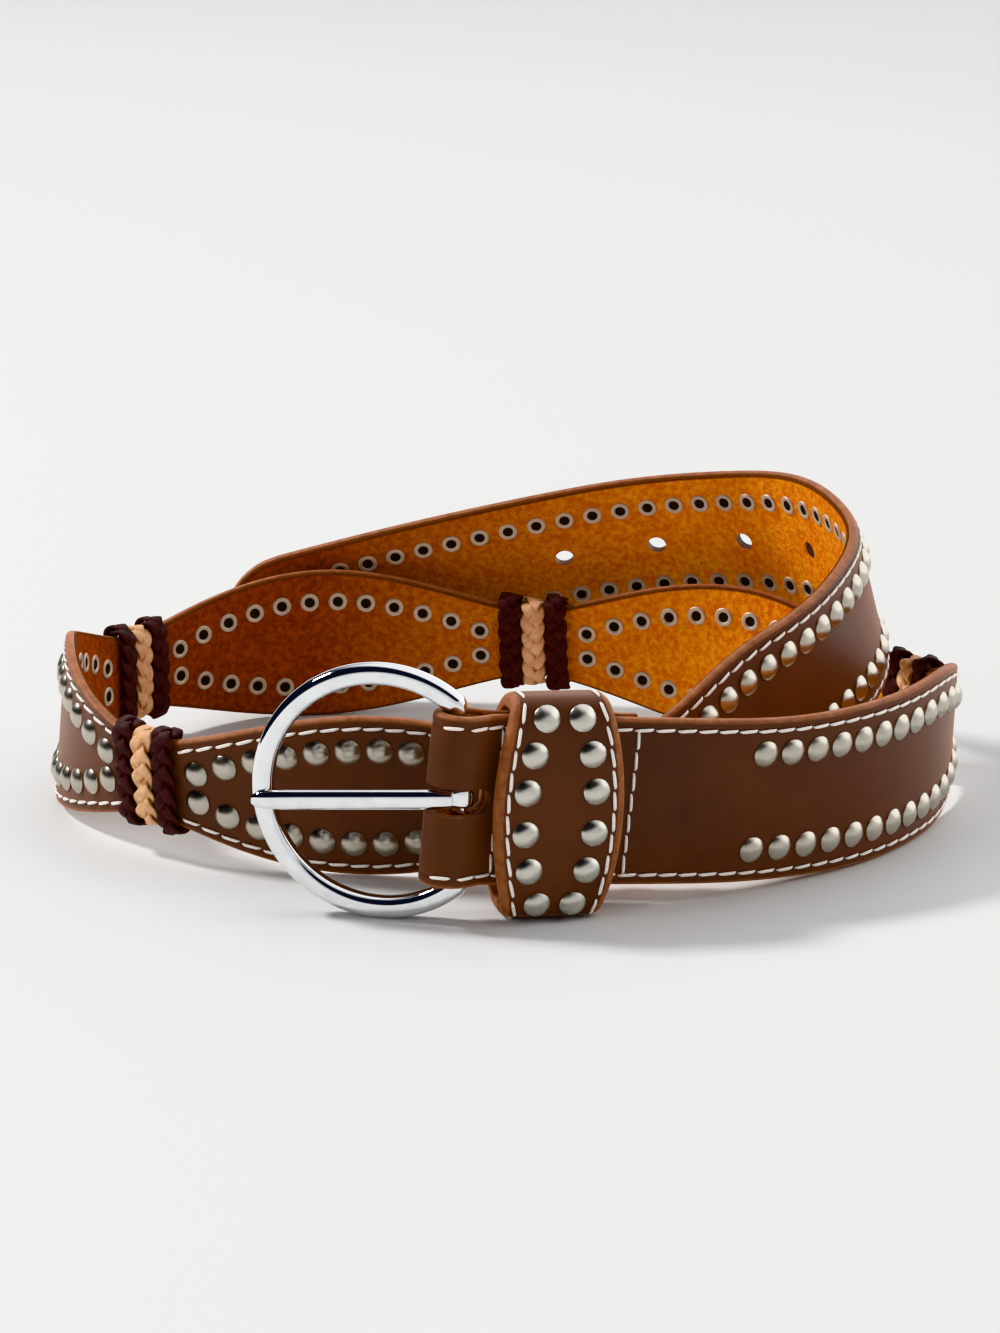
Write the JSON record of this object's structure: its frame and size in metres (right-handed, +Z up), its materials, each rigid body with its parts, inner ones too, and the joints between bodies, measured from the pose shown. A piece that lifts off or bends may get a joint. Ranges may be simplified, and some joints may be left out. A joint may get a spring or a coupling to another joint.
{
  "type": "studded leather belt",
  "caption": "Studded leather belt coiled on its edge: swelling panels joined by braided cord wraps, a round ring buckle with one prong, a keeper loop and a punched tip strap.",
  "frame": {"origin": "on the floor, under the middle of the coil's box", "axes": "+Z up, +X along the coil's longest side, to the right of somebody who faces the buckle; the buckle is on the -Y side"},
  "size_m": [0.2253, 0.1981, 0.0709],
  "materials": {
    "leather": "chestnut brown waxed leather, semi-gloss, with lighter worn edges",
    "suede": "orange suede lining, matt nap",
    "studs": "satin nickel dome studs and rivet backs",
    "chrome": "polished chrome plate",
    "dark_cord": "flat braid of dark burgundy-brown leather lace",
    "tan_cord": "flat braid of natural tan leather lace",
    "thread": "cream waxed sewing thread"
  },
  "bodies": {
    "strap": {"buckle_ring": "chrome", "keeper_loop": "leather", "buckle_strap": "leather", "panel_1": "leather", "panel_2": "leather", "panel_3": "leather", "panel_4": "leather", "tip_strap": "leather", "wrap_1_cord_1": "dark_cord", "wrap_1_cord_2": "tan_cord", "wrap_1_cord_3": "dark_cord", "wrap_2_cord_1": "dark_cord", "wrap_2_cord_2": "tan_cord", "wrap_2_cord_3": "dark_cord", "wrap_3_cord_1": "dark_cord", "wrap_3_cord_2": "tan_cord", "wrap_3_cord_3": "dark_cord", "wrap_4_cord_1": "dark_cord", "wrap_4_cord_2": "tan_cord", "wrap_4_cord_3": "dark_cord", "wrap_5_cord_1": "dark_cord", "wrap_5_cord_2": "tan_cord", "wrap_5_cord_3": "dark_cord"},
    "prong": {"buckle_prong": "chrome"}
  },
  "joints": [
    {"name": "prong_hinge", "type": "hinge", "parent": "strap", "child": "prong", "pos_m": [-0.01072, -0.09163, 0.03], "axis": [0, 0, 1], "range_deg": [0, 120]}
  ]
}
